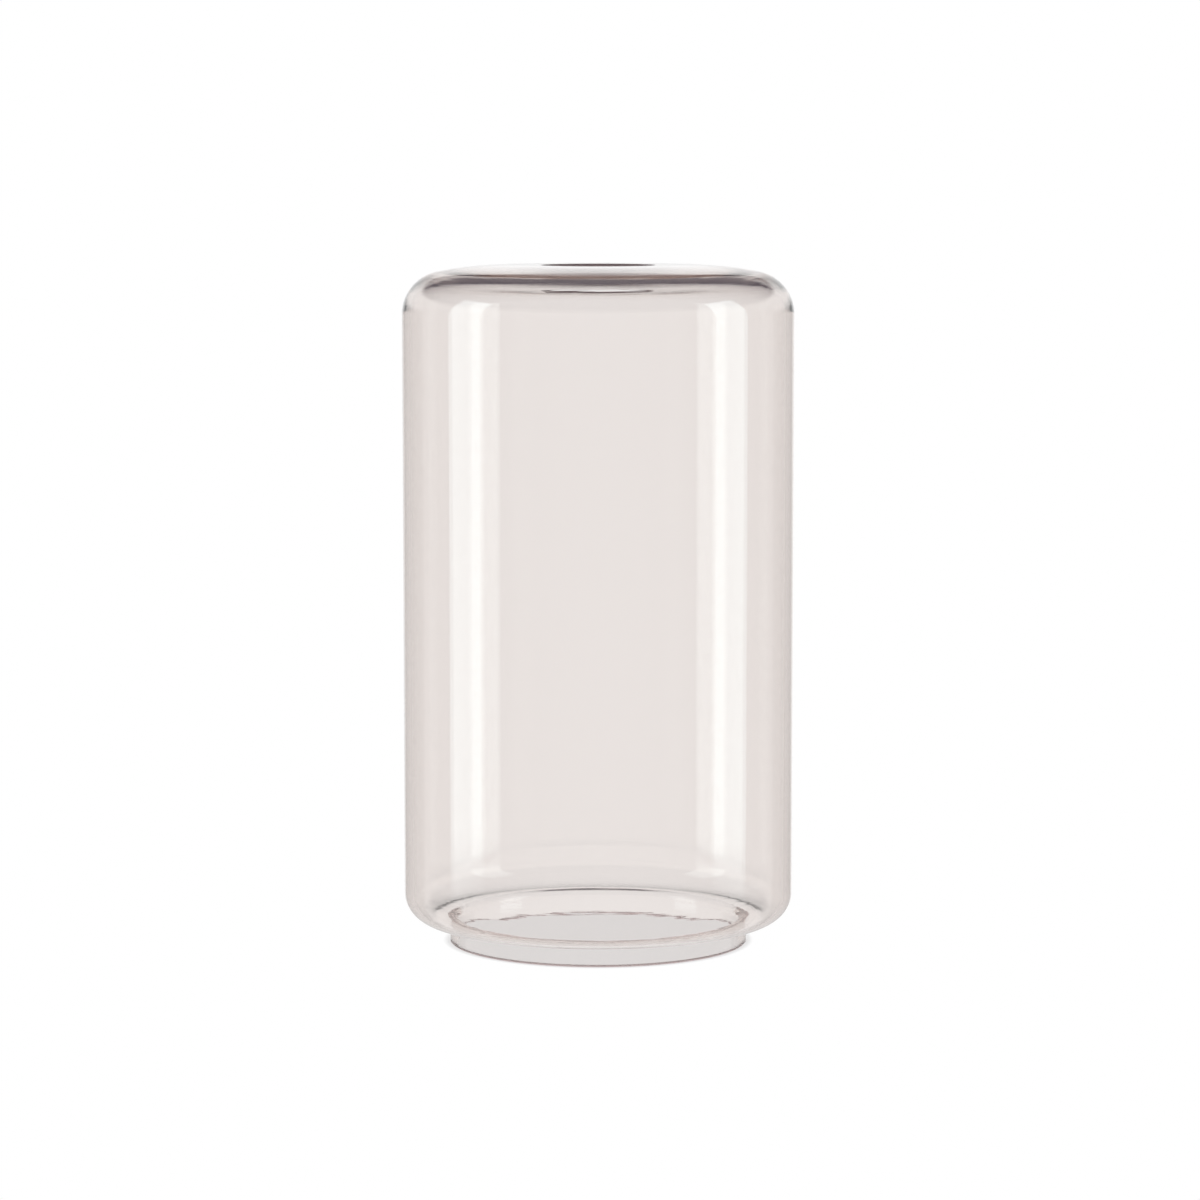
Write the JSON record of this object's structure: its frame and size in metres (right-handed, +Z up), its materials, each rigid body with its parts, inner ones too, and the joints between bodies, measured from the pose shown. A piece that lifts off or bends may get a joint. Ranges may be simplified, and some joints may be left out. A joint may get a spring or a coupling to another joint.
{
  "type": "glass cylinder shade",
  "caption": "Clear glass cylinder blown in one piece, with a round hole in its dished crown, rounded shoulders and a short open collar with a ground rim.",
  "frame": {"origin": "on the cylinder's axis, in the plane of the collar's ground rim that it stands on", "axes": "+Z up along the axis, from the collar to the crown with the hole; X and Y are any two directions across, because the glass is round"},
  "size_m": [0.15, 0.15, 0.261],
  "materials": {
    "clear_glass": "clear with a faint warm tint, fire polished, ground on the rim and at the hole"
  },
  "bodies": {
    "root": {"glass_cylinder": "clear_glass"}
  },
  "joints": []
}
